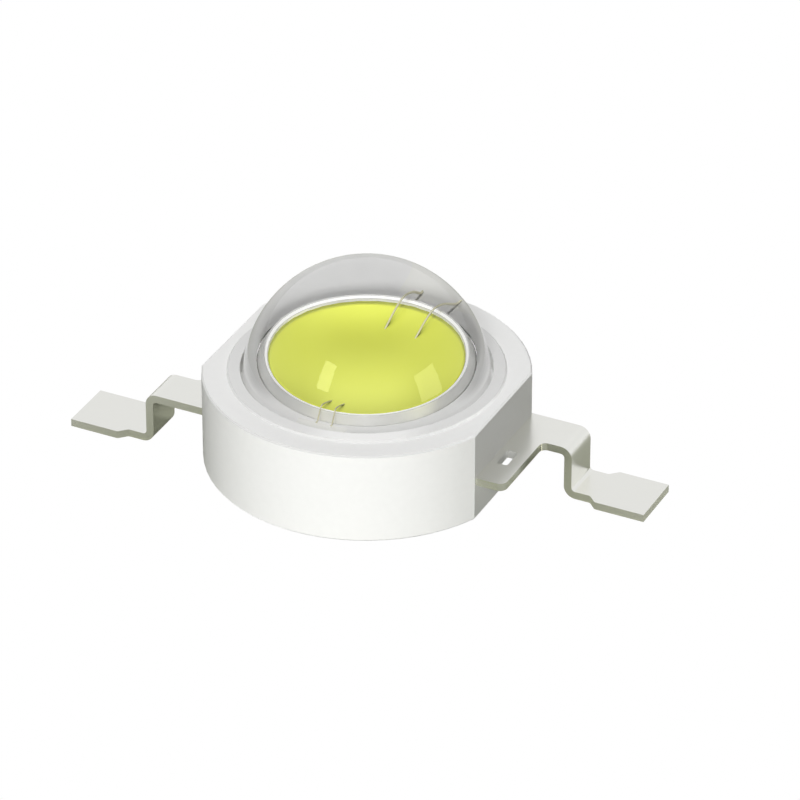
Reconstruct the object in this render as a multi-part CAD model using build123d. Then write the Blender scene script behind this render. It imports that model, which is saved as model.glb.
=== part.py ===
from build123d import *
from math import cos, radians, sin
import os

# High power LED emitter with a round moulded housing, a clear dome and two gull-wing leads.
# All sizes are in millimetres. The origin is on the seating plane, on the axis of the dome.
# +Z points up, and +X points along the leads, to the anode foot.

# Clear dome
lens_radius = 3.02
lens_gap = 0.04

# Moulded housing, from the lens outwards
seat_depth = 0.28
ring_wall = 0.34
ring_bevel = 0.045
ring_bevel_height = 0.05
ring_rise = 0.08
ring_edge_chamfer = 0.02
shelf_width = 0.265
flat_depth = 0.335
housing_height = 2.38
housing_lift = 0.2
housing_edge_chamfer = 0.04

# Notch in each flat under the lead: the background shows through the anode's slot
notch_wall = 0.24
notch_roof = 0.2
notch_width = 1.55
notch_offset = 0.62

# Heat slug with its cup
slug_clearance = 0.02
slug_face_radius = 2.85
slug_flange_thickness = 0.85
slug_face_chamfer = 0.08
neck_radius = 1.92
cup_rim_taper = 0.075
cup_rim_height = 0.21
cup_rim_width = 0.08
cup_depth = 0.8
cup_wall_lean = 0.465
cup_floor_chamfer = 0.1

# Chip, adhesive and phosphor
chip_side = 1.0
chip_thickness = 0.14
chip_pad_side = 0.12
chip_pad_height = 0.01
chip_pad_inset = 0.13
die_attach_side = 1.12
die_attach_thickness = 0.03
phosphor_edge_drop = 0.025
phosphor_sag = 0.06

# Leads, stamped from one thickness of strip
lead_thickness = 0.2
lead_width = 1.09
lead_offset = 1.125
lead_top = 1.38
bend_radius = 0.1
leg_reach = 1.545
foot_length = 2.0
foot_width = 1.5
foot_neck = 0.5
foot_shoulder_round = 0.09
anode_tab_reach = 0.755
cathode_tab_reach = 0.575
tab_inset = 0.02
tab_corner_round = 0.2
tab_root_round = 0.17
slot_width = 0.275
slot_length = 0.615
slot_from_edge = 0.31
slot_offset = -0.44
slot_corner_round = 0.05

# Inner part of each lead, held by the moulding
anchor_depth = 0.5
arm_gap = 0.3
arm_lip = 0.25
arm_end_angle = 100
pad_gap = 0.1
pad_length = 0.62
pad_width = 1.15
pad_anchor = 0.15

# Bond wires
wire_diameter = 0.035
wire_foot = 0.08
wire_knee_run = 0.1
wire_knee_rise = 0.36
wire_rim_clearance = 0.06
wire_shoulder_run = 0.12
wire_shoulder_drop = 0.07
wire_bond_before_middle = 0.25
anode_wire_starts = (-0.29, 0.25)
anode_wire_ends = (-0.3, 0.22)
cathode_wire_starts = (-0.12, 0.13)
cathode_wire_ends = (-0.2, 0.14)

# Sizes that follow from the ones above
seat_radius = lens_radius + lens_gap
ring_radius = seat_radius + ring_wall
flat_distance = ring_radius + shelf_width
housing_radius = flat_distance + flat_depth
flat_half_width = (housing_radius**2 - flat_distance**2) ** 0.5
housing_top = housing_lift + housing_height
seat_level = housing_top - seat_depth
cup_rim_level = seat_level + cup_rim_height
cup_floor_level = cup_rim_level - cup_depth
cup_rim_radius = neck_radius - cup_rim_taper
cup_mouth_radius = cup_rim_radius - cup_rim_width
cup_floor_radius = cup_mouth_radius - cup_wall_lean
phosphor_edge_level = cup_rim_level - phosphor_edge_drop
chip_bottom = cup_floor_level + die_attach_thickness
chip_top = chip_bottom + chip_thickness + chip_pad_height
lead_bottom = lead_top - lead_thickness
notch_face = slug_face_radius + slug_clearance + notch_wall
notch_top = lead_bottom - notch_roof
strip_low = lead_offset - lead_width / 2
strip_high = lead_offset + lead_width / 2
strip_root = flat_distance - anchor_depth
slot_middle = flat_distance + anode_tab_reach - slot_from_edge - slot_width / 2
leg_face = flat_distance + leg_reach
foot_tip = leg_face + foot_length
outer_bend_radius = bend_radius + lead_thickness
arm_inner_radius = neck_radius + slug_clearance + arm_gap
pad_inner_edge = neck_radius + slug_clearance + pad_gap
riser_face = pad_inner_edge + pad_length
arm_outer_radius = riser_face + arm_lip


def revolved(points):
    """A turned solid from the corners of its half section, given as radius and height."""
    return revolve(make_face(Plane.XZ * Polyline(*points, close=True)), Axis.Z)


def housing_blank():
    """The round moulding with its two flats, before the openings are made."""
    base = Pos(0, 0, housing_lift)
    round_body = extrude(base * Circle(housing_radius), housing_height)
    between_flats = extrude(base * Rectangle(2 * flat_distance, 2 * housing_radius), housing_height)
    return round_body & between_flats


def raised_ring():
    """The bevelled ring on top, which rises towards the lens, before the seat is cut in it."""
    crest = housing_top + ring_rise
    return revolved(
        [
            (0, housing_top),
            (ring_radius, housing_top),
            (ring_radius - ring_bevel, housing_top + ring_bevel_height),
            (seat_radius, crest),
            (0, crest),
        ]
    )


def slug_bore():
    """The stepped hole that the heat slug sits in."""
    flange_top = slug_flange_thickness
    return revolved(
        [
            (0, 0),
            (slug_face_radius + slug_clearance, 0),
            (slug_face_radius + slug_clearance, flange_top),
            (neck_radius + slug_clearance, flange_top),
            (neck_radius + slug_clearance, seat_level),
            (0, seat_level),
        ]
    )


def lead_notches():
    """The notches in the flats under the two leads, open to the side and to the board."""
    depth = housing_radius - notch_face
    middle = Pos(notch_face + depth / 2, notch_offset, notch_top / 2)
    notch = middle * Box(depth, notch_width, notch_top)
    return notch + Rot(0, 0, 180) * notch


def edges_round(body, level):
    """The edges round the moulding at one height, which all have both ends on a flat."""
    near = housing_edge_chamfer
    return [
        edge
        for edge in body.edges()
        if abs((edge @ 0).Z - level) < near
        and abs((edge @ 1).Z - level) < near
        and min(abs((edge @ 0).X), abs((edge @ 1).X)) > flat_distance - near
    ]


def housing(leads):
    """The white moulding, with the lens seat, the slug bore and the passages of the leads."""
    seat = extrude(Pos(0, 0, seat_level) * Circle(seat_radius), seat_depth + ring_rise)
    body = housing_blank() + raised_ring() - seat
    outer_edges = edges_round(body, housing_top) + edges_round(body, housing_lift)
    body = chamfer(outer_edges, housing_edge_chamfer)
    inner_crest = body.edges().filter_by(GeomType.CIRCLE).sort_by(Axis.Z)[-1]
    body = chamfer(inner_crest, ring_edge_chamfer) - slug_bore() - lead_notches()
    for lead in leads:
        body -= lead
    return body


def heat_slug():
    """The turned slug: thermal face below, neck, and the cup that holds the chip."""
    floor_step = cup_floor_chamfer * (cup_mouth_radius - cup_floor_radius) / cup_depth
    return revolved(
        [
            (0, 0),
            (slug_face_radius - slug_face_chamfer, 0),
            (slug_face_radius, slug_face_chamfer),
            (slug_face_radius, slug_flange_thickness),
            (neck_radius, slug_flange_thickness),
            (neck_radius, seat_level),
            (cup_rim_radius, cup_rim_level),
            (cup_mouth_radius, cup_rim_level),
            (cup_floor_radius + floor_step, cup_floor_level + cup_floor_chamfer),
            (cup_floor_radius - cup_floor_chamfer, cup_floor_level),
            (0, cup_floor_level),
        ]
    )


def bent_strip(points, radii, plane, width):
    """A strip of lead thickness whose upper face follows points, with a radius at each bend."""
    upper_face = FilletPolyline(*points, radius=radii)
    section = make_face(offset(upper_face, lead_thickness, side=Side.RIGHT))
    return extrude(plane * section, width)


def lead_plate(tab_reach):
    """The flat part of a lead: strip root, shoulder tab and curved inner arm."""
    tab_edge = flat_distance + tab_reach
    bend_start = leg_face - outer_bend_radius
    tab_low = tab_inset - flat_half_width
    outline = make_face(
        Polyline(
            (strip_root, tab_low),
            (tab_edge, tab_low),
            (tab_edge, strip_low),
            (bend_start, strip_low),
            (bend_start, strip_high),
            (strip_root, strip_high),
            close=True,
        )
    )
    tab_corner = outline.vertices().sort_by_distance((tab_edge, tab_low))[0]
    outline = fillet(tab_corner, tab_corner_round)
    tab_root = outline.vertices().sort_by_distance((tab_edge, strip_low))[0]
    outline = fillet(tab_root, tab_root_round)
    return outline + inner_arm()


def anode_slot():
    """The slot through the anode's tab, which marks that lead."""
    outline = RectangleRounded(slot_width, slot_length, slot_corner_round)
    return extrude(Pos(slot_middle, slot_offset, lead_bottom) * outline, lead_thickness)


def inner_arm():
    """The arm that curves round the slug from the strip to the bond pad."""
    far = 2 * housing_radius
    end = radians(arm_end_angle)
    wedge = make_face(
        Polyline(
            (0, 0),
            (far, strip_low),
            (far, far),
            (far * cos(end), far * sin(end)),
            close=True,
        )
    )
    band = (Circle(arm_outer_radius) - Circle(arm_inner_radius)) & wedge
    bridge_start = (arm_inner_radius**2 - strip_low**2) ** 0.5
    bridge = Pos((bridge_start + strip_root) / 2, lead_offset) * Rectangle(
        strip_root - bridge_start, lead_width
    )
    return band + (bridge - Circle(arm_inner_radius))


def lead_foot():
    """The solder foot, which widens past its neck with rounded shoulders."""
    neck_end = leg_face + foot_neck
    shoulder = (foot_width - lead_width) / 2
    half = foot_width / 2
    sides = make_face(
        Polyline(
            (neck_end - shoulder, -lead_width / 2),
            (neck_end, -lead_width / 2),
            (neck_end + shoulder, -half),
            (foot_tip, -half),
            (foot_tip, half),
            (neck_end + shoulder, half),
            (neck_end, lead_width / 2),
            (neck_end - shoulder, lead_width / 2),
            close=True,
        )
    )
    corners = [v for v in sides.vertices() if neck_end - shoulder / 2 < v.X < foot_tip - shoulder / 2]
    sides = fillet(corners, foot_shoulder_round)
    return extrude(Pos(0, lead_offset) * sides, lead_thickness)


def lead(tab_reach):
    """One lead with its gull-wing bends outside and its raised bond pad inside."""
    plate = extrude(Pos(0, 0, lead_bottom) * lead_plate(tab_reach), lead_thickness)
    wing_points = [
        (flat_distance, lead_top),
        (leg_face, lead_top),
        (leg_face, lead_thickness),
        (foot_tip, lead_thickness),
    ]
    wing_plane = Plane((0, lead_offset + lead_width / 2, 0), x_dir=(1, 0, 0), z_dir=(0, -1, 0))
    wing = bent_strip(wing_points, [outer_bend_radius, bend_radius], wing_plane, lead_width)
    pad_points = [
        (-(riser_face + pad_anchor), lead_top),
        (-riser_face, lead_top),
        (-riser_face, seat_level),
        (-pad_inner_edge, seat_level),
    ]
    pad_plane = Plane((pad_width / 2, 0, 0), x_dir=(0, -1, 0), z_dir=(-1, 0, 0))
    pad = bent_strip(pad_points, [bend_radius, outer_bend_radius], pad_plane, pad_width)
    return plate + wing + lead_foot() + pad


def die_attach():
    """The layer of adhesive under the chip."""
    layer = Rectangle(die_attach_side, die_attach_side)
    return extrude(Pos(0, 0, cup_floor_level) * layer, die_attach_thickness)


def chip_pad_y():
    """How far the chip's bond pads lie from the middle of the chip."""
    return chip_side / 2 - chip_pad_inset


def chip_pads():
    """The four places on the chip that the wires are bonded to."""
    pads = [Pos(x, chip_pad_y()) for x in anode_wire_starts]
    pads += [Pos(x, -chip_pad_y()) for x in cathode_wire_starts]
    return pads


def led_chip():
    """The chip, with its four raised bond pads."""
    chip = extrude(Pos(0, 0, chip_bottom) * Rectangle(chip_side, chip_side), chip_thickness)
    for place in chip_pads():
        pad = Rectangle(chip_pad_side, chip_pad_side)
        chip += extrude(place * Pos(0, 0, chip_bottom + chip_thickness) * pad, chip_pad_height)
    return chip


def wire_profile():
    """The wire's corners from chip to lead, as distance from the middle and height."""
    radius = wire_diameter / 2
    chip_bond = chip_pad_y() - wire_foot / 2
    rim_y = (cup_rim_radius + cup_mouth_radius) / 2
    over_rim = cup_rim_level + wire_rim_clearance + radius
    lead_bond = (pad_inner_edge + riser_face) / 2 - wire_bond_before_middle
    return [
        (chip_bond, chip_top + radius),
        (chip_bond + wire_foot, chip_top + radius),
        (chip_bond + wire_foot + wire_knee_run, chip_top + wire_knee_rise),
        (rim_y, over_rim),
        (cup_rim_radius + wire_shoulder_run, over_rim - wire_shoulder_drop),
        (lead_bond, seat_level + radius),
        (lead_bond + wire_foot, seat_level + radius),
    ]


def bond_wire(start_x, end_x, side):
    """A wire bonded to the chip, which loops over the cup's rim to a lead's bond pad."""
    profile = wire_profile()
    start_y = profile[0][0]
    slope = (end_x - start_x) / (profile[-1][0] - start_y)
    path = Polyline(*[(start_x + slope * (y - start_y), side * y, z) for y, z in profile])
    section = Plane(origin=path @ 0, z_dir=path % 0) * Circle(wire_diameter / 2)
    return sweep(section, path=path, transition=Transition.RIGHT)


def phosphor_fill(slug, contents):
    """The phosphor filled silicone in the cup, whose top sags a little from where it wets the rim."""
    sag_radius = (cup_mouth_radius**2 + phosphor_sag**2) / (2 * phosphor_sag)
    fill_height = phosphor_edge_level - cup_floor_level
    cup_space = extrude(Pos(0, 0, cup_floor_level) * Circle(cup_mouth_radius), fill_height)
    above = Pos(0, 0, phosphor_edge_level - phosphor_sag + sag_radius) * Sphere(sag_radius)
    fill = cup_space - above - slug
    for piece in contents:
        fill -= piece
    return fill


def lens(contents):
    """The clear dome, moulded over the cup's rim, the phosphor and the wires."""
    ball = Pos(0, 0, seat_level) * Sphere(lens_radius)
    upper_half = extrude(Pos(0, 0, seat_level) * Circle(2 * lens_radius), 2 * lens_radius)
    dome = ball & upper_half
    for piece in contents:
        dome -= piece
    return dome


def build():
    """Every piece of the emitter, by name."""
    anode = lead(anode_tab_reach) - anode_slot()
    cathode = Rot(0, 0, 180) * lead(cathode_tab_reach)
    slug = heat_slug()
    chip = led_chip()
    layer = die_attach()
    wires = {}
    for name, place in (("inner", 0), ("outer", 1)):
        wires["anode_wire_" + name] = bond_wire(anode_wire_starts[place], anode_wire_ends[place], 1)
        wires["cathode_wire_" + name] = bond_wire(
            cathode_wire_starts[place], cathode_wire_ends[place], -1
        )
    fill = phosphor_fill(slug, [layer, chip, *wires.values()])
    pieces = {
        "housing": housing([anode, cathode]),
        "heat_slug": slug,
        "anode_lead": anode,
        "cathode_lead": cathode,
        "die_attach": layer,
        "led_chip": chip,
        "phosphor_fill": fill,
        "lens": lens([slug, fill, *wires.values()]),
    }
    pieces.update(wires)
    return pieces


os.makedirs("parts", exist_ok=True)
for node, solid in build().items():
    solid.label = node
    export_step(solid, "parts/" + node + ".step")
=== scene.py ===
import math

import bpy
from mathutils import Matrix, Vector


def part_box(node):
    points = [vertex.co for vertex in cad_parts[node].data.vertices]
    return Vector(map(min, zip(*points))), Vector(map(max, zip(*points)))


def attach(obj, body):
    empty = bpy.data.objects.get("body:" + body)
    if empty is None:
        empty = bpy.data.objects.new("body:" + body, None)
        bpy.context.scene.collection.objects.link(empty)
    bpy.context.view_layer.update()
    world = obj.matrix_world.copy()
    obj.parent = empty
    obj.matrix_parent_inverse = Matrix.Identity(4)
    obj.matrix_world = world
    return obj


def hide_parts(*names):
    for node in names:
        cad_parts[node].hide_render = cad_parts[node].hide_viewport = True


# Looks of a high power LED emitter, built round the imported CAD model.
# The CAD model's frame is used as it is: metres, +Z up, the dome's axis on Z.

MM = 0.001
UP = Vector((0, 0, 1))

# Camera, solved from the outlines in the photograph, with its angles in degrees
CAMERA_AZIMUTH = 26.179
CAMERA_ELEVATION = 31.8185
CAMERA_DISTANCE = 135.692 * MM
CAMERA_TARGET = Vector((-0.3327, 2.495, 0.2)) * MM
CAMERA_FOCAL_PIXELS = 5480
CAMERA_CLIP = (1 * MM, 10)
PHOTO_PIXELS = 800
SENSOR_WIDTH = 36

# Clear dome, whose foot is sunk in the seat so that what it covers lies inside it
DOME_RADIUS = 3.02 * MM
DOME_SINK = 0.05 * MM
DOME_EDGE_WIDTH = 0.015 * DOME_RADIUS
DOME_EDGE_HEIGHT = 0.015 * MM
DOME_STEPS = 64
DOME_SEGMENTS = 192
DOME_IOR = 1.41
DOME_TINT = (0.8, 0.8, 0.8)

# White moulding
MOULDING_TONES = (0.87, 0.87, 0.86), (0.91, 0.91, 0.9)

# Shade that is painted on the moulding and the pads, in directions that are fixed in the part's frame.
# They were chosen for the photograph: BEHIND points away from its camera, ACROSS runs across its view
# and BEVEL_FRONT is 20 degrees to its camera's left.
BEHIND = Vector((-0.4412, 0.8974, 0))
ACROSS = Vector((0.8974, 0.4412, 0))
BEVEL_FRONT = Vector((0.1076, -0.9942, 0))
SIDES_FROM, SIDES_FULL = 0.6 * MM, 1.7 * MM
# The seat and the pads on it are darker beside and behind the cup
SEAT_SHADE = 0.66
SEAT_SHADE_FROM, SEAT_SHADE_FULL = 2.4 * MM, 2.1 * MM
SEAT_BEHIND_FROM, SEAT_BEHIND_FULL = -1.2 * MM, 0
# The ring's gently sloped top is darker at its sides
RING_SHADE = 0.85
RING_FALL = 0.035 * MM
# Bevels are darker in front, and are told by how far their normals point up
BEVEL_SHADE = 0.69
BEVEL_STEEPEST, BEVEL_FLATTEST = 0.3, 0.95
BEVEL_SHADE_FROM, BEVEL_SHADE_FULL = 0.1, 0.6

# Plating on the leads, which is matte on the bond pads under the dome and in the anode's slot. The slot's
# walls get painted tones that even out light and shade: darker on the walls that light falls on, lighter on
# the wall that faces the anode's foot, which lies in shade
LEAD_TONES = (0.93, 0.93, 0.89), (0.96, 0.96, 0.92)
PAD_RADIUS = 3.06 * MM
SLOT_MIDDLE = Vector((3.9725, -0.44, 0)) * MM
SLOT_REACH = 0.4 * MM
SLOT_WALL_PAINTED_TONES = (0.46, 0.46, 0.44), (0.95, 0.95, 0.93)
WALL_STEEPNESS = 0.5
SQUARE_ON = 0.9

# Plating on the slug, with a painted highlight that glows in a line round the flat top of the cup's rim, and
# painted shade on the rest of that flat top
SLUG_TONES = (0.93, 0.93, 0.91), (0.97, 0.97, 0.95)
RIM_EDGE = 0.005 * MM
RIM_BRIGHT_FROM = 0.026 * MM
RIM_BRIGHT_TO = 0.066 * MM
RIM_GLINT = 0.25
RIM_GLINT_COLOUR = (1, 1, 0.97)
RIM_PAINTED_SHADE = 0.8

# Plating's drawn streaks run along X, in cycles per metre
STREAK_SCALE = 12 / MM
STREAK_STRETCH = (0.15, 1, 1)

# Phosphor, whose surface sags from where it wets the cup, with a painted shadow where a wire comes close
PHOSPHOR_TONES = (0.87, 0.94, 0.095), (0.9, 0.96, 0.11)
PHOSPHOR_SAG = 0.06 * MM
PHOSPHOR_EDGE_DROP = 0.025 * MM
PHOSPHOR_DEPTH = 0.6 * MM
PHOSPHOR_FLOOR_SHARE = 0.8
PHOSPHOR_STEPS = 24
PHOSPHOR_SEGMENTS = 128
CONTACT_REACH = 0.12 * MM
CONTACT_SHADE = 0.3
CONTACT_OPEN, CONTACT_CLOSED = 0.95, 0.5
CONTACT_FROM, CONTACT_FULL = 1.74 * MM, 1.66 * MM

# Adhesive and chip under the phosphor
ADHESIVE_TONES = (0.4, 0.4, 0.4), (0.75, 0.75, 0.75)
CHIP_TONES = (0.3, 0.42, 0.55), (0.55, 0.66, 0.75)
CHIP_BLOCK_SCALE = 5 / MM

# Bond wires, whose routes run from the chip over the cup's rim down to a pad.
# Each point is a distance from the middle and a height over the seat, in millimetres.
WIRE_TONES = (0.66, 0.63, 0.45), (0.72, 0.69, 0.5)
WIRE_RADIUS = 0.015 * MM
BACK_ROUTE = [
    (0.33, -0.3925),
    (0.43, -0.3925),
    (0.5, -0.1),
    (0.75, 0.02),
    (1.05, 0.09),
    (1.25, 0.17),
    (1.45, 0.26),
    (1.6, 0.305),
    (1.72, 0.32),
    (1.83, 0.285),
    (1.95, 0.2),
    (2.05, 0.08),
    (2.1, 0.0175),
    (2.13, 0.0175),
]
FRONT_ROUTE = [
    (0.33, -0.3925),
    (0.43, -0.3925),
    (0.5, -0.1),
    (0.75, 0.02),
    (1.15, 0.09),
    (1.32, 0.17),
    (1.6, 0.26),
    (1.82, 0.31),
    (1.92, 0.17),
    (2.0, 0.04),
    (2.04, 0.0175),
    (2.1, 0.0175),
]
# Where each wire starts and ends across, in millimetres, and its side of the chip and route
WIRES = {
    "anode_wire_inner": (-0.28, -0.285, 1, BACK_ROUTE),
    "anode_wire_outer": (0.27, 0.24, 1, BACK_ROUTE),
    "cathode_wire_inner": (-0.11, -0.155, -1, FRONT_ROUTE),
    "cathode_wire_outer": (0.09, 0.19, -1, FRONT_ROUTE),
}

# Lights: azimuth from the camera's and elevation in degrees, width and height in metres, and power
LIGHT_DISTANCE = 0.35
LIGHT_AIM = Vector((0, 0, 3 * MM))
LIGHTS = {
    "key": (-10, 32, 0.06, 0.06, 0.74),
    "front": (-10, 4, 0.06, 0.06, 0.35),
    "overhead": (0, 88, 0.03, 0.03, 0.41),
    "back_fill": (180, 5, 0.05, 0.05, 0.3),
}
# Softboxes, which only show in reflections
SOFTBOXES = {
    "softbox_left": (-42, 26, 0.073, 0.155, 0.16),
    "softbox_right": (61, 12, 0.14, 0.15, 0.2),
}
CREAM = (1, 1, 0.55)

# How bright the studio looks in reflections: (height of the direction, level)
ROOM = [(0.0, 0.85), (0.42, 0.82), (0.54, 0.78), (0.75, 0.88), (1.0, 0.7)]
# The same, as seen in the phosphor through the dome, ahead and to the sides
ROOM_AHEAD = [
    (0.0, 0.3),
    (0.25, 0.4),
    (0.34, 1.15),
    (0.42, 1.45),
    (0.52, 1.0),
    (0.6, 0.75),
    (0.68, 0.03),
    (0.76, 0.35),
    (0.84, 1.9),
    (1.0, 2.0),
]
ROOM_ASIDE = [
    (0.0, 0.2),
    (0.3, 0.3),
    (0.42, 0.8),
    (0.5, 0.7),
    (0.68, 0.6),
    (0.74, 0.8),
    (0.84, 1.5),
    (1.0, 1.8),
]
ASIDE_FROM, ASIDE_FULL = 0.1, 0.36
ROOM_AMBIENT = 0.03

# Floor: its tone, and its tones in reflections close to the part and further off
FLOOR_HALF_SIZE = 600 * MM
FLOOR_TONE = (0.24, 0.25, 0.21)
FLOOR_MIRRORED_TONES = (0.31, 0.32, 0.25), (0.75, 0.75, 0.72)
FLOOR_NEAR, FLOOR_FAR = 5 * MM, 16 * MM

WHITE = (1, 1, 1)


def direction(azimuth, elevation):
    """The unit vector from the object towards a place, with the azimuth counted from the camera's."""
    a = math.radians(CAMERA_AZIMUTH + azimuth)
    e = math.radians(elevation)
    return Vector((math.sin(a) * math.cos(e), -math.cos(a) * math.cos(e), math.sin(e)))


def add(name, data):
    """A new object in the scene."""
    thing = bpy.data.objects.new(name, data)
    bpy.context.scene.collection.objects.link(thing)
    return thing


# Nodes of the materials and the world, whose inputs are numbers, vectors, colours or other nodes' outputs

def feed(tree, value, socket):
    """Gives a node's input its value."""
    if isinstance(value, bpy.types.NodeSocket):
        tree.links.new(value, socket)
    elif socket.type == "RGBA":
        socket.default_value = (*value, 1)
    else:
        socket.default_value = value


def new_node(tree, kind, **values):
    """A new node, with its inputs given by name, with underscores for spaces."""
    node = tree.nodes.new(kind)
    set_inputs(tree, node, **values)
    return node


def set_inputs(tree, node, **values):
    """Sets a node's inputs by name, with underscores for spaces."""
    for name, value in values.items():
        feed(tree, value, node.inputs[name.replace("_", " ")])


def position(tree):
    """The place on the surface, in the part's own frame."""
    return tree.nodes.new("ShaderNodeTexCoord").outputs["Object"]


def maths(tree, operation, first, second=0):
    """What a Math node makes of one or two numbers."""
    node = tree.nodes.new("ShaderNodeMath")
    node.operation = operation
    feed(tree, first, node.inputs[0])
    feed(tree, second, node.inputs[1])
    return node.outputs["Value"]


def product(tree, first, *others):
    """The product of two or more numbers."""
    for other in others:
        first = maths(tree, "MULTIPLY", first, other)
    return first


def ramp_between(tree, value, low, high, interpolation="SMOOTHSTEP"):
    """A rise from 0 to 1 while the value goes from low to high."""
    node = new_node(tree, "ShaderNodeMapRange", Value=value, From_Min=low, From_Max=high)
    node.interpolation_type = interpolation
    return node.outputs["Result"]


def grey_ramp(tree, value, stops):
    """Greys that follow a value smoothly through the stops."""
    ramp = new_node(tree, "ShaderNodeValToRGB", Fac=value)
    ramp.color_ramp.interpolation = "EASE"
    while len(ramp.color_ramp.elements) < len(stops):
        ramp.color_ramp.elements.new(0.5)
    for element, (height, level) in zip(ramp.color_ramp.elements, stops):
        element.position = height
        element.color = (level, level, level, 1)
    return ramp.outputs["Color"]


def along(tree, vector, towards):
    """How far a vector goes along a fixed direction."""
    node = tree.nodes.new("ShaderNodeVectorMath")
    node.operation = "DOT_PRODUCT"
    feed(tree, vector, node.inputs[0])
    feed(tree, towards, node.inputs[1])
    return node.outputs["Value"]


def facing(tree, towards):
    """How far the surface's own normal points along a fixed direction."""
    return along(tree, tree.nodes.new("ShaderNodeNewGeometry").outputs["True Normal"], towards)


def distance_from(tree, middle):
    """How far the surface is from an upright axis."""
    flat = new_node(tree, "ShaderNodeMapping", Vector=position(tree), Scale=(1, 1, 0))
    node = tree.nodes.new("ShaderNodeVectorMath")
    node.operation = "DISTANCE"
    feed(tree, flat.outputs["Vector"], node.inputs[0])
    feed(tree, middle, node.inputs[1])
    return node.outputs["Value"]


def distance_from_axis(tree):
    """How far the surface is from the dome's axis."""
    return distance_from(tree, (0, 0, 0))


def higher_than(tree, level):
    """Is 1 on what lies above a height."""
    return maths(tree, "GREATER_THAN", along(tree, position(tree), UP), level)


def beside(tree):
    """Rises from 0 in the middle to 1 on either side."""
    across = maths(tree, "ABSOLUTE", along(tree, position(tree), ACROSS))
    return ramp_between(tree, across, SIDES_FROM, SIDES_FULL)


def mix(tree, factor, first, second, blend="MIX"):
    """A colour that runs from the first to the second with the factor."""
    node = tree.nodes.new("ShaderNodeMix")
    node.data_type = "RGBA"
    node.blend_type = blend
    set_inputs(tree, node, Factor=factor, A=first, B=second)
    return node.outputs["Result"]


def darken(tree, colour, amount, shade):
    """The colour, multiplied by the shade where the amount is 1."""
    return mix(tree, amount, colour, (shade, shade, shade), "MULTIPLY")


def noise(tree, cycles, detail=4.0):
    """A noise texture in the part's own frame, in cycles per millimetre."""
    texture = new_node(
        tree, "ShaderNodeTexNoise", Vector=position(tree), Scale=cycles / MM, Detail=detail
    )
    return texture.outputs["Fac"]


def bump(tree, shader, height, strength, distance):
    """Fine relief on the shader's normal."""
    node = new_node(tree, "ShaderNodeBump", Height=height, Strength=strength, Distance=distance)
    feed(tree, node.outputs["Normal"], shader.inputs["Normal"])


def ray(tree, kind):
    """Is 1 for one kind of ray."""
    return tree.nodes.new("ShaderNodeLightPath").outputs[kind]


def mix_shaders(tree, factor, first, second):
    """The first shader where the factor is 0, and the second where it is 1."""
    node = new_node(tree, "ShaderNodeMixShader", Fac=factor)
    feed(tree, first, node.inputs[1])
    feed(tree, second, node.inputs[2])
    return node.outputs["Shader"]


# Materials

def new_material(name):
    """A new material, with its node tree and its Principled shader."""
    material = bpy.data.materials.new(name)
    material.use_nodes = True
    tree = material.node_tree
    return material, tree, tree.nodes["Principled BSDF"]


def seat_shade(tree):
    """How much shade is painted on the seat: most beside the cup, a little behind its middle."""
    near = ramp_between(tree, distance_from_axis(tree), SEAT_SHADE_FROM, SEAT_SHADE_FULL)
    how_far_behind = along(tree, position(tree), BEHIND)
    behind = ramp_between(tree, how_far_behind, SEAT_BEHIND_FROM, SEAT_BEHIND_FULL)
    return product(tree, near, behind, beside(tree))


def bevel_shade(tree):
    """Is 1 where shade is painted on the bevels in front, and less on those beside them."""
    steepness = facing(tree, UP)
    not_wall = maths(tree, "GREATER_THAN", steepness, BEVEL_STEEPEST)
    not_top = maths(tree, "LESS_THAN", steepness, BEVEL_FLATTEST)
    in_front = ramp_between(tree, facing(tree, BEVEL_FRONT), BEVEL_SHADE_FROM, BEVEL_SHADE_FULL)
    return product(tree, not_wall, not_top, in_front)


def white_moulding(ring_level):
    """Satin white moulding with a fine grain, and painted shade on the seat beside and behind the cup, on
    the bevels in front and on the ring's top at its sides.
    """
    material, tree, shader = new_material("white_moulding")
    grain = noise(tree, cycles=6)
    colour = mix(tree, grain, *MOULDING_TONES)
    # Painted shade on the seat and on the bevels in front
    colour = darken(tree, colour, seat_shade(tree), SEAT_SHADE)
    colour = darken(tree, colour, bevel_shade(tree), BEVEL_SHADE)
    # Painted shade on the ring's top at its sides
    ring_sides = product(tree, higher_than(tree, ring_level - RING_FALL), beside(tree))
    colour = darken(tree, colour, ring_sides, RING_SHADE)
    set_inputs(tree, shader, Base_Color=colour, Roughness=0.5, IOR=1.45)
    bump(tree, shader, grain, strength=0.1, distance=0.01 * MM)
    return material


def plated(name, tones, metallic, roughness):
    """Plated metal with faint drawn streaks, with its node tree, its shader and its colour."""
    material, tree, shader = new_material(name)
    stretched = new_node(tree, "ShaderNodeMapping", Vector=position(tree), Scale=STREAK_STRETCH)
    texture = new_node(
        tree,
        "ShaderNodeTexNoise",
        Vector=stretched.outputs["Vector"],
        Scale=STREAK_SCALE,
        Detail=3,
    )
    streaks = texture.outputs["Fac"]
    colour = mix(tree, streaks, *tones)
    set_inputs(tree, shader, Base_Color=colour, Metallic=metallic, Roughness=roughness)
    bump(tree, shader, streaks, strength=0.05, distance=0.005 * MM)
    return material, tree, shader, colour


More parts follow.
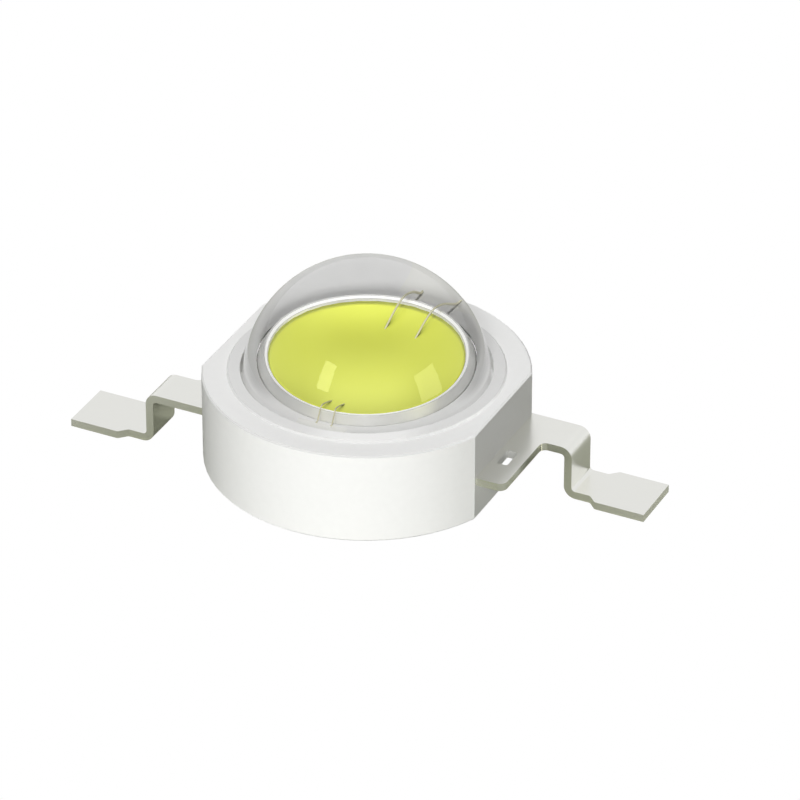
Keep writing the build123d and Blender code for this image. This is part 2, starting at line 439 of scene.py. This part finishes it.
def lead_plating():
    """Bright plating, which is matte under the dome and on the slot's walls, with painted shade on the pads
    under the dome and painted tones on the slot's walls that even out light and shade.
    """
    material, tree, shader, colour = plated("lead_plating", LEAD_TONES, metallic=1.0, roughness=0.25)
    near_slot = maths(tree, "LESS_THAN", distance_from(tree, SLOT_MIDDLE), SLOT_REACH)
    wall = maths(tree, "LESS_THAN", facing(tree, UP), WALL_STEEPNESS)
    slot_wall = product(tree, near_slot, wall)
    outside = maths(tree, "GREATER_THAN", distance_from_axis(tree), PAD_RADIUS)
    bright = maths(tree, "SUBTRACT", outside, slot_wall)
    # Painted shade on the pads beside and behind the cup
    colour = darken(tree, colour, seat_shade(tree), SEAT_SHADE)
    # Painted tones on the slot's walls: darker where light falls on them, lighter on the shaded wall that
    # faces the anode's foot
    towards_anode_foot = maths(tree, "GREATER_THAN", facing(tree, (1, 0, 0)), SQUARE_ON)
    wall_colour = mix(tree, towards_anode_foot, *SLOT_WALL_PAINTED_TONES)
    colour = mix(tree, slot_wall, colour, wall_colour)
    set_inputs(tree, shader, Base_Color=colour, Metallic=bright)
    return material


def slug_plating(rim_level, mouth_radius):
    """Plating on the slug, with a glowing painted highlight in a line round the flat top of the cup's rim,
    and painted shade on the rest of that flat top.
    """
    material, tree, shader, colour = plated("slug_plating", SLUG_TONES, metallic=0.6, roughness=0.35)
    on_top = higher_than(tree, rim_level - RIM_EDGE)
    away = distance_from_axis(tree)
    past_inner = maths(tree, "GREATER_THAN", away, mouth_radius + RIM_BRIGHT_FROM)
    before_outer = maths(tree, "LESS_THAN", away, mouth_radius + RIM_BRIGHT_TO)
    line = product(tree, past_inner, before_outer, on_top)
    # Painted shade on the rim's flat top beside the line, and a painted highlight that glows along the line
    colour = darken(tree, colour, maths(tree, "SUBTRACT", on_top, line), RIM_PAINTED_SHADE)
    glint = product(tree, line, RIM_GLINT)
    set_inputs(
        tree, shader, Base_Color=colour, Emission_Color=RIM_GLINT_COLOUR, Emission_Strength=glint
    )
    return material


def phosphor():
    """Silicone filled with yellow phosphor, with a painted shadow where a wire comes close and a faint
    painted glow.
    """
    material, tree, shader = new_material("phosphor")
    colour = mix(tree, noise(tree, cycles=9), *PHOSPHOR_TONES)
    # Painted shadow on the phosphor where a wire comes close, away from the rim
    surroundings = new_node(tree, "ShaderNodeAmbientOcclusion", Distance=CONTACT_REACH)
    surroundings.samples = 16
    closed_in = ramp_between(tree, surroundings.outputs["AO"], CONTACT_OPEN, CONTACT_CLOSED)
    off_the_rim = ramp_between(tree, distance_from_axis(tree), CONTACT_FROM, CONTACT_FULL)
    colour = darken(tree, colour, product(tree, closed_in, off_the_rim), CONTACT_SHADE)
    set_inputs(tree, shader, Base_Color=colour, Metallic=0.3, Roughness=0.25, IOR=1.41)
    # A faint painted glow, which lifts the yellow
    set_inputs(tree, shader, Emission_Color=colour, Emission_Strength=0.03)
    return material


def adhesive():
    """Grey adhesive filled with silver flakes."""
    material, tree, shader = new_material("die_adhesive")
    colour = mix(tree, noise(tree, cycles=40), *ADHESIVE_TONES)
    set_inputs(tree, shader, Base_Color=colour, Metallic=0.6, Roughness=0.45)
    return material


def chip():
    """Polished chip with faint blocks of its layers."""
    material, tree, shader = new_material("chip")
    blocks = new_node(
        tree, "ShaderNodeTexVoronoi", Vector=position(tree), Scale=CHIP_BLOCK_SCALE
    )
    colour = mix(tree, blocks.outputs["Distance"], *CHIP_TONES)
    set_inputs(tree, shader, Base_Color=colour, Roughness=0.15, IOR=1.77)
    return material


def clear_silicone():
    """The clear silicone of the dome, which lets shadows and diffuse light through with a tint."""
    material, tree, shader = new_material("clear_silicone")
    set_inputs(
        tree, shader, Base_Color=WHITE, Roughness=0.0, IOR=DOME_IOR, Transmission_Weight=1.0
    )
    passes = maths(tree, "MAXIMUM", ray(tree, "Is Shadow Ray"), ray(tree, "Is Diffuse Ray"))
    clear = new_node(tree, "ShaderNodeBsdfTransparent", Color=DOME_TINT)
    surface = mix_shaders(tree, passes, shader.outputs["BSDF"], clear.outputs["BSDF"])
    feed(tree, surface, tree.nodes["Material Output"].inputs["Surface"])
    return material


# Pieces that are finer than their CAD nodes

def lathe(name, profile, segments):
    """A closed, smooth surface of revolution from (radius, height) points that start and end on the axis."""
    vertices = []
    faces = []
    rings = []
    for radius, height in profile:
        if radius == 0:
            rings.append([len(vertices)] * segments)
            vertices.append((0, 0, height))
            continue
        rings.append(range(len(vertices), len(vertices) + segments))
        for step in range(segments):
            turn = 2 * math.pi * step / segments
            vertices.append((radius * math.cos(turn), radius * math.sin(turn), height))
    for lower, upper in zip(rings, rings[1:]):
        for step in range(segments):
            after = (step + 1) % segments
            corners = [lower[step], lower[after], upper[after], upper[step]]
            faces.append(list(dict.fromkeys(corners)))
    mesh = bpy.data.meshes.new(name)
    mesh.from_pydata(vertices, [], faces)
    mesh.validate()
    for polygon in mesh.polygons:
        polygon.use_smooth = True
    return add(name, mesh)


def make_dome(seat_level):
    """The clear dome: half a ball, closed a little below the seat."""
    bottom = seat_level - DOME_SINK
    profile = [
        (0, bottom),
        (DOME_RADIUS - DOME_EDGE_WIDTH, bottom),
        (DOME_RADIUS, bottom + DOME_EDGE_HEIGHT),
    ]
    for step in range(DOME_STEPS):
        rise = math.pi / 2 * step / DOME_STEPS
        profile.append((DOME_RADIUS * math.cos(rise), seat_level + DOME_RADIUS * math.sin(rise)))
    profile.append((0, seat_level + DOME_RADIUS))
    return lathe("clear_dome", profile, DOME_SEGMENTS)


def make_phosphor(rim_level, mouth_radius):
    """The filled cup's yellow surface, which sags a little from where it wets the rim."""
    edge_level = rim_level - PHOSPHOR_EDGE_DROP
    bottom = edge_level - PHOSPHOR_DEPTH
    profile = [(0, bottom), (mouth_radius * PHOSPHOR_FLOOR_SHARE, bottom)]
    for step in range(PHOSPHOR_STEPS + 1):
        share = 1 - step / PHOSPHOR_STEPS
        profile.append((mouth_radius * share, edge_level - PHOSPHOR_SAG * (1 - share**2)))
    return lathe("phosphor_pool", profile, PHOSPHOR_SEGMENTS)


def make_wire(name, start, end, side, route, seat_level):
    """One fine bond wire, as a thin bevelled curve."""
    data = bpy.data.curves.new(name, "CURVE")
    data.dimensions = "3D"
    data.bevel_depth = WIRE_RADIUS
    data.bevel_resolution = 5
    data.use_fill_caps = True
    spline = data.splines.new("NURBS")
    spline.points.add(len(route) - 1)
    first, last = route[0][0], route[-1][0]
    for point, (away, height) in zip(spline.points, route):
        across = start + (end - start) * (away - first) / (last - first)
        point.co = (across * MM, side * away * MM, seat_level + height * MM, 1)
    spline.order_u = 3
    spline.use_endpoint_u = True
    spline.resolution_u = 8
    return add(name + "_fine", data)


def finish_piece(piece, material, slot, *nodes):
    """Gives a new piece its material, and puts it on the body in place of CAD nodes. The slot is not used.
    """
    piece.data.materials.append(material)
    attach(piece, "root")
    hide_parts(*nodes)


def wear(node, material):
    """Puts a material on a CAD node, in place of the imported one."""
    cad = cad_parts[node]
    cad.data.materials.clear()
    cad.data.materials.append(material)


# Studio

def make_camera():
    """The photograph's camera."""
    data = bpy.data.cameras.new("camera")
    data.sensor_width = SENSOR_WIDTH
    data.lens = CAMERA_FOCAL_PIXELS / PHOTO_PIXELS * SENSOR_WIDTH
    data.clip_start, data.clip_end = CAMERA_CLIP
    camera = add("camera", data)
    back = direction(0, CAMERA_ELEVATION)
    camera.location = CAMERA_TARGET + back * CAMERA_DISTANCE
    camera.rotation_euler = (-back).to_track_quat("-Z", "Y").to_euler()
    bpy.context.scene.camera = camera


def area_light(name, azimuth, elevation, width, height, power):
    """A rectangular light that faces the object, hidden from the camera and from rays through the dome."""
    data = bpy.data.lights.new(name, "AREA")
    data.shape = "RECTANGLE"
    data.size = width
    data.size_y = height
    data.energy = power * math.pi**2 * LIGHT_DISTANCE**2
    light = add(name, data)
    towards = direction(azimuth, elevation)
    light.location = LIGHT_AIM + towards * LIGHT_DISTANCE
    light.rotation_euler = (-towards).to_track_quat("-Z", "Y").to_euler()
    light.visible_camera = False
    light.visible_transmission = False
    return light


def make_lights():
    """The lights, which light matte surfaces, and the softboxes, which show in shiny ones."""
    for name, values in LIGHTS.items():
        area_light(name, *values).visible_glossy = False
    for name, values in SOFTBOXES.items():
        softbox = area_light(name, *values)
        softbox.visible_diffuse = False
        softbox.data.color = CREAM


def spare_from_shadow(lights, wires):
    """Keeps fine wires from casting these lights' shadows, which the dome would blur away."""
    spared = bpy.data.collections.new("fine_wires")
    for wire in wires:
        spared.objects.link(wire)
    for entry in spared.collection_objects:
        entry.light_linking.link_state = "EXCLUDE"
    for light in lights:
        bpy.data.objects[light].light_linking.blocker_collection = spared


def make_world():
    """A studio that is white to the camera and has its own greys in reflections."""
    world = bpy.data.worlds.new("studio")
    world.use_nodes = True
    world.cycles.sampling_method = "NONE"
    bpy.context.scene.world = world
    tree = world.node_tree
    towards = tree.nodes.new("ShaderNodeTexCoord").outputs["Generated"]
    height = along(tree, towards, UP)
    across = maths(tree, "ABSOLUTE", along(tree, towards, direction(90, 0)))
    aside = ramp_between(tree, across, ASIDE_FROM, ASIDE_FULL)
    ahead_level = grey_ramp(tree, height, ROOM_AHEAD)
    aside_level = grey_ramp(tree, height, ROOM_ASIDE)
    under_dome = mix(tree, aside, ahead_level, aside_level)
    level = mix(tree, ray(tree, "Is Transmission Ray"), grey_ramp(tree, height, ROOM), under_dome)
    reflected = new_node(tree, "ShaderNodeBackground", Color=level)
    ambient = new_node(tree, "ShaderNodeBackground", Color=WHITE, Strength=ROOM_AMBIENT)
    seen = tree.nodes["Background"]
    set_inputs(tree, seen, Color=WHITE, Strength=1)
    not_diffuse = maths(tree, "LESS_THAN", ray(tree, "Diffuse Depth"), 0.5)
    unseen = mix_shaders(tree, not_diffuse, ambient.outputs[0], reflected.outputs[0])
    studio = mix_shaders(tree, ray(tree, "Is Camera Ray"), unseen, seen.outputs[0])
    feed(tree, studio, tree.nodes["World Output"].inputs["Surface"])


def make_floor():
    """A pale floor that is white to the camera, and greyer in reflections close to the part."""
    mesh = bpy.data.meshes.new("floor")
    s = FLOOR_HALF_SIZE
    mesh.from_pydata([(-s, -s, 0), (s, -s, 0), (s, s, 0), (-s, s, 0)], [], [(0, 1, 2, 3)])
    floor = add("floor", mesh)
    material, tree, shader = new_material("floor")
    reach = ramp_between(tree, distance_from_axis(tree), FLOOR_NEAR, FLOOR_FAR, "LINEAR")
    mirrored = mix(tree, reach, *FLOOR_MIRRORED_TONES)
    tone = mix(tree, ray(tree, "Is Glossy Ray"), FLOOR_TONE, mirrored)
    set_inputs(tree, shader, Base_Color=tone, Roughness=0.9)
    seen = new_node(tree, "ShaderNodeEmission", Color=WHITE, Strength=1)
    is_camera = ray(tree, "Is Camera Ray")
    surface = mix_shaders(tree, is_camera, shader.outputs["BSDF"], seen.outputs["Emission"])
    feed(tree, surface, tree.nodes["Material Output"].inputs["Surface"])
    mesh.materials.append(material)


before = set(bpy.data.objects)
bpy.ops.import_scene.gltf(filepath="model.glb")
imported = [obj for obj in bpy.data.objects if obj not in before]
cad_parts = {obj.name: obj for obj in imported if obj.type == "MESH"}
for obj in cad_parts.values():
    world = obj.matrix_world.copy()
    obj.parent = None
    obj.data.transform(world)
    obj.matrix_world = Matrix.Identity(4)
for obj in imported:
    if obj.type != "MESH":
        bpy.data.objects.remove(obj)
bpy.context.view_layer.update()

seat_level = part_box("lens")[0].z
ring_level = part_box("housing")[1].z
rim_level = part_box("heat_slug")[1].z
mouth_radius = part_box("phosphor_fill")[1].x

make_camera()
make_world()
make_floor()
make_lights()

wear("housing", white_moulding(ring_level))
lead_metal = lead_plating()
wear("anode_lead", lead_metal)
wear("cathode_lead", lead_metal)
wear("heat_slug", slug_plating(rim_level, mouth_radius))
wear("die_attach", adhesive())
wear("led_chip", chip())
finish_piece(make_dome(seat_level), clear_silicone(), "clear_silicone", "lens")
finish_piece(make_phosphor(rim_level, mouth_radius), phosphor(), "phosphor", "phosphor_fill")
wire_metal = plated("bond_wire", WIRE_TONES, metallic=0.6, roughness=0.35)[0]
wires = []
for name, (start, end, side, route) in WIRES.items():
    wire = make_wire(name, start, end, side, route, seat_level)
    finish_piece(wire, wire_metal, "bond_wire", name)
    wires.append(wire)
spare_from_shadow(["key", "front"], wires)

bpy.context.scene.view_settings.view_transform = "Standard"
